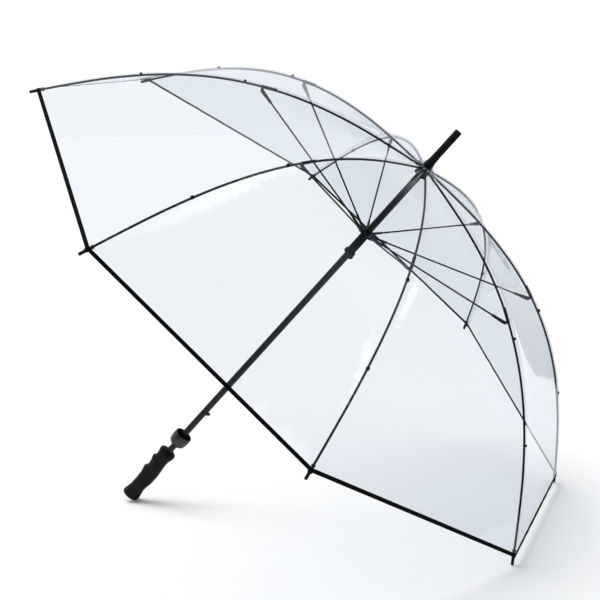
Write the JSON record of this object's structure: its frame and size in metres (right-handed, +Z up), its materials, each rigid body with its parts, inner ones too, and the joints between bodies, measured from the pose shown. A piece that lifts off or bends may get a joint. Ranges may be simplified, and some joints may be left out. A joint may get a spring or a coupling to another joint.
{
  "type": "clear film umbrella",
  "caption": "Open clear-film umbrella on a straight black shaft with a sports grip, lying on two rib tips and its grip; the runner slides down the shaft and folds the ribs.",
  "frame": {"origin": "on the floor, at the middle of the bounding box's underside, with the open umbrella resting on two rib tips and the rim of its butt cap", "axes": "+Z up; +X level, from the grip towards the canopy in the vertical plane that holds the shaft, which rises 45.5 degrees; +Y level, across the canopy"},
  "size_m": [0.8161, 1.12, 0.8061],
  "materials": {
    "shaft": "satin black powder coat",
    "moulding": "moulded black nylon",
    "cup": "moulded black plastic, semi-gloss",
    "wire": "drawn steel wire",
    "grip": "soft-touch black rubber",
    "rod": "black pultruded fibreglass",
    "stretcher": "black coated steel",
    "clear_film": "clear flexible film, high gloss",
    "clear_trim": "clear flexible film, gathered"
  },
  "bodies": {
    "shaft": {"shaft_tube": "shaft", "ferrule": "moulding", "top_washer": "clear_trim", "top_notch": "moulding", "notch_ring": "wire", "tip_cup": "cup", "grip": "grip", "butt_cap": "grip"},
    "runner": {"runner": "moulding", "runner_ring": "wire"},
    "top_catch": {"top_catch": "moulding"},
    "bottom_catch": {"bottom_catch": "moulding"},
    "rib_inner_1": {"rib_inner_1": "rod", "film_inner_1": "clear_film"},
    "rib_outer_1": {"rib_outer_1": "rod", "tip_cap_1": "moulding", "film_outer_1": "clear_film"},
    "stretcher_1": {"stretcher_1": "stretcher"},
    "rib_inner_2": {"rib_inner_2": "rod", "film_inner_2": "clear_film"},
    "rib_outer_2": {"rib_outer_2": "rod", "tip_cap_2": "moulding", "film_outer_2": "clear_film"},
    "stretcher_2": {"stretcher_2": "stretcher"},
    "rib_inner_3": {"rib_inner_3": "rod", "film_inner_3": "clear_film"},
    "rib_outer_3": {"rib_outer_3": "rod", "tip_cap_3": "moulding", "film_outer_3": "clear_film"},
    "stretcher_3": {"stretcher_3": "stretcher"},
    "rib_inner_4": {"rib_inner_4": "rod", "film_inner_4": "clear_film"},
    "rib_outer_4": {"rib_outer_4": "rod", "tip_cap_4": "moulding", "film_outer_4": "clear_film"},
    "stretcher_4": {"stretcher_4": "stretcher"},
    "rib_inner_5": {"rib_inner_5": "rod", "film_inner_5": "clear_film"},
    "rib_outer_5": {"rib_outer_5": "rod", "tip_cap_5": "moulding", "film_outer_5": "clear_film"},
    "stretcher_5": {"stretcher_5": "stretcher"},
    "rib_inner_6": {"rib_inner_6": "rod", "film_inner_6": "clear_film"},
    "rib_outer_6": {"rib_outer_6": "rod", "tip_cap_6": "moulding", "film_outer_6": "clear_film"},
    "stretcher_6": {"stretcher_6": "stretcher"},
    "rib_inner_7": {"rib_inner_7": "rod", "film_inner_7": "clear_film"},
    "rib_outer_7": {"rib_outer_7": "rod", "tip_cap_7": "moulding", "film_outer_7": "clear_film"},
    "stretcher_7": {"stretcher_7": "stretcher"},
    "rib_inner_8": {"rib_inner_8": "rod", "film_inner_8": "clear_film"},
    "rib_outer_8": {"rib_outer_8": "rod", "tip_cap_8": "moulding", "film_outer_8": "clear_film"},
    "stretcher_8": {"stretcher_8": "stretcher"}
  },
  "joints": [
    {"name": "runner_slide", "type": "slide", "parent": "shaft", "child": "runner", "axis": [0.7012, 0, 0.713], "range_m": [-0.44988, 0]},
    {"name": "rib_hinge_1", "type": "hinge", "parent": "shaft", "child": "rib_inner_1", "pos_m": [0.22016, 0.0036, 0.61312], "axis": [0.2728, -0.9239, -0.2683], "range_deg": [-75.13, 0], "deforming": ["film_inner_1"]},
    {"name": "rib_flex_1", "type": "hinge", "parent": "rib_inner_1", "child": "rib_outer_1", "pos_m": [0.37414, 0.1192, 0.37167], "axis": [0.2728, -0.9239, -0.2683], "range_deg": [0, 23.71], "deforming": ["film_outer_1"]},
    {"name": "stretcher_hinge_1", "type": "hinge", "parent": "rib_inner_1", "child": "stretcher_1", "pos_m": [0.36634, 0.11608, 0.37447], "axis": [0.2728, -0.9239, -0.2683], "range_deg": [0, 147.66]},
    {"name": "rib_hinge_2", "type": "hinge", "parent": "shaft", "child": "rib_inner_2", "pos_m": [0.21653, 0.00868, 0.61669], "axis": [0.6587, -0.3827, -0.6478], "range_deg": [-75.13, 0], "deforming": ["film_inner_2"]},
    {"name": "rib_flex_2", "type": "hinge", "parent": "rib_inner_2", "child": "rib_outer_2", "pos_m": [0.25395, 0.28777, 0.48986], "axis": [0.6587, -0.3827, -0.6478], "range_deg": [0, 23.71], "deforming": ["film_outer_2"]},
    {"name": "stretcher_hinge_2", "type": "hinge", "parent": "rib_inner_2", "child": "stretcher_2", "pos_m": [0.24929, 0.28025, 0.48958], "axis": [0.6587, -0.3827, -0.6478], "range_deg": [0, 147.66]},
    {"name": "rib_hinge_3", "type": "hinge", "parent": "shaft", "child": "rib_inner_3", "pos_m": [0.2114, 0.00868, 0.62173], "axis": [0.6587, 0.3827, -0.6478], "range_deg": [-75.13, 0], "deforming": ["film_inner_3"]},
    {"name": "rib_flex_3", "type": "hinge", "parent": "rib_inner_3", "child": "rib_outer_3", "pos_m": [0.08397, 0.28777, 0.65702], "axis": [0.6587, 0.3827, -0.6478], "range_deg": [0, 23.71], "deforming": ["film_outer_3"]},
    {"name": "stretcher_hinge_3", "type": "hinge", "parent": "rib_inner_3", "child": "stretcher_3", "pos_m": [0.08376, 0.28025, 0.65237], "axis": [0.6587, 0.3827, -0.6478], "range_deg": [0, 147.66]},
    {"name": "rib_hinge_4", "type": "hinge", "parent": "shaft", "child": "rib_inner_4", "pos_m": [0.20777, 0.0036, 0.6253], "axis": [0.2728, 0.9239, -0.2683], "range_deg": [-75.13, 0], "deforming": ["film_inner_4"]},
    {"name": "rib_flex_4", "type": "hinge", "parent": "rib_inner_4", "child": "rib_outer_4", "pos_m": [-0.03622, 0.1192, 0.77522], "axis": [0.2728, 0.9239, -0.2683], "range_deg": [0, 23.71], "deforming": ["film_outer_4"]},
    {"name": "stretcher_hinge_4", "type": "hinge", "parent": "rib_inner_4", "child": "stretcher_4", "pos_m": [-0.03329, 0.11608, 0.76748], "axis": [0.2728, 0.9239, -0.2683], "range_deg": [0, 147.66]},
    {"name": "rib_hinge_5", "type": "hinge", "parent": "shaft", "child": "rib_inner_5", "pos_m": [0.20777, -0.0036, 0.6253], "axis": [-0.2728, 0.9239, 0.2683], "range_deg": [-75.13, 0], "deforming": ["film_inner_5"]},
    {"name": "rib_flex_5", "type": "hinge", "parent": "rib_inner_5", "child": "rib_outer_5", "pos_m": [-0.03622, -0.1192, 0.77522], "axis": [-0.2728, 0.9239, 0.2683], "range_deg": [0, 23.71], "deforming": ["film_outer_5"]},
    {"name": "stretcher_hinge_5", "type": "hinge", "parent": "rib_inner_5", "child": "stretcher_5", "pos_m": [-0.03329, -0.11608, 0.76748], "axis": [-0.2728, 0.9239, 0.2683], "range_deg": [0, 147.66]},
    {"name": "rib_hinge_6", "type": "hinge", "parent": "shaft", "child": "rib_inner_6", "pos_m": [0.2114, -0.00868, 0.62173], "axis": [-0.6587, 0.3827, 0.6478], "range_deg": [-75.13, 0], "deforming": ["film_inner_6"]},
    {"name": "rib_flex_6", "type": "hinge", "parent": "rib_inner_6", "child": "rib_outer_6", "pos_m": [0.08397, -0.28777, 0.65702], "axis": [-0.6587, 0.3827, 0.6478], "range_deg": [0, 23.71], "deforming": ["film_outer_6"]},
    {"name": "stretcher_hinge_6", "type": "hinge", "parent": "rib_inner_6", "child": "stretcher_6", "pos_m": [0.08376, -0.28025, 0.65237], "axis": [-0.6587, 0.3827, 0.6478], "range_deg": [0, 147.66]},
    {"name": "rib_hinge_7", "type": "hinge", "parent": "shaft", "child": "rib_inner_7", "pos_m": [0.21653, -0.00868, 0.61669], "axis": [-0.6587, -0.3827, 0.6478], "range_deg": [-75.13, 0], "deforming": ["film_inner_7"]},
    {"name": "rib_flex_7", "type": "hinge", "parent": "rib_inner_7", "child": "rib_outer_7", "pos_m": [0.25395, -0.28777, 0.48986], "axis": [-0.6587, -0.3827, 0.6478], "range_deg": [0, 23.71], "deforming": ["film_outer_7"]},
    {"name": "stretcher_hinge_7", "type": "hinge", "parent": "rib_inner_7", "child": "stretcher_7", "pos_m": [0.24929, -0.28025, 0.48958], "axis": [-0.6587, -0.3827, 0.6478], "range_deg": [0, 147.66]},
    {"name": "rib_hinge_8", "type": "hinge", "parent": "shaft", "child": "rib_inner_8", "pos_m": [0.22016, -0.0036, 0.61312], "axis": [-0.2728, -0.9239, 0.2683], "range_deg": [-75.13, 0], "deforming": ["film_inner_8"]},
    {"name": "rib_flex_8", "type": "hinge", "parent": "rib_inner_8", "child": "rib_outer_8", "pos_m": [0.37414, -0.1192, 0.37167], "axis": [-0.2728, -0.9239, 0.2683], "range_deg": [0, 23.71], "deforming": ["film_outer_8"]},
    {"name": "stretcher_hinge_8", "type": "hinge", "parent": "rib_inner_8", "child": "stretcher_8", "pos_m": [0.36634, -0.11608, 0.37447], "axis": [-0.2728, -0.9239, 0.2683], "range_deg": [0, 147.66]},
    {"name": "top_catch_press", "type": "slide", "parent": "shaft", "child": "top_catch", "axis": [0.713, 0, -0.7012], "range_m": [-0.0054, 0], "stiffness_N_per_m": 800},
    {"name": "bottom_catch_press", "type": "slide", "parent": "shaft", "child": "bottom_catch", "axis": [0.713, 0, -0.7012], "range_m": [-0.0054, 0], "stiffness_N_per_m": 800}
  ],
  "couplings": [
    {"joint": "rib_hinge_1", "follows": "runner_slide", "rad_per_m": 2.9139},
    {"joint": "rib_flex_1", "follows": "runner_slide", "rad_per_m": -0.91908},
    {"joint": "stretcher_hinge_1", "follows": "runner_slide", "rad_per_m": -5.728},
    {"joint": "rib_hinge_2", "follows": "runner_slide", "rad_per_m": 2.9139},
    {"joint": "rib_flex_2", "follows": "runner_slide", "rad_per_m": -0.91908},
    {"joint": "stretcher_hinge_2", "follows": "runner_slide", "rad_per_m": -5.728},
    {"joint": "rib_hinge_3", "follows": "runner_slide", "rad_per_m": 2.9139},
    {"joint": "rib_flex_3", "follows": "runner_slide", "rad_per_m": -0.91908},
    {"joint": "stretcher_hinge_3", "follows": "runner_slide", "rad_per_m": -5.728},
    {"joint": "rib_hinge_4", "follows": "runner_slide", "rad_per_m": 2.9139},
    {"joint": "rib_flex_4", "follows": "runner_slide", "rad_per_m": -0.91908},
    {"joint": "stretcher_hinge_4", "follows": "runner_slide", "rad_per_m": -5.728},
    {"joint": "rib_hinge_5", "follows": "runner_slide", "rad_per_m": 2.9139},
    {"joint": "rib_flex_5", "follows": "runner_slide", "rad_per_m": -0.91908},
    {"joint": "stretcher_hinge_5", "follows": "runner_slide", "rad_per_m": -5.728},
    {"joint": "rib_hinge_6", "follows": "runner_slide", "rad_per_m": 2.9139},
    {"joint": "rib_flex_6", "follows": "runner_slide", "rad_per_m": -0.91908},
    {"joint": "stretcher_hinge_6", "follows": "runner_slide", "rad_per_m": -5.728},
    {"joint": "rib_hinge_7", "follows": "runner_slide", "rad_per_m": 2.9139},
    {"joint": "rib_flex_7", "follows": "runner_slide", "rad_per_m": -0.91908},
    {"joint": "stretcher_hinge_7", "follows": "runner_slide", "rad_per_m": -5.728},
    {"joint": "rib_hinge_8", "follows": "runner_slide", "rad_per_m": 2.9139},
    {"joint": "rib_flex_8", "follows": "runner_slide", "rad_per_m": -0.91908},
    {"joint": "stretcher_hinge_8", "follows": "runner_slide", "rad_per_m": -5.728}
  ]
}
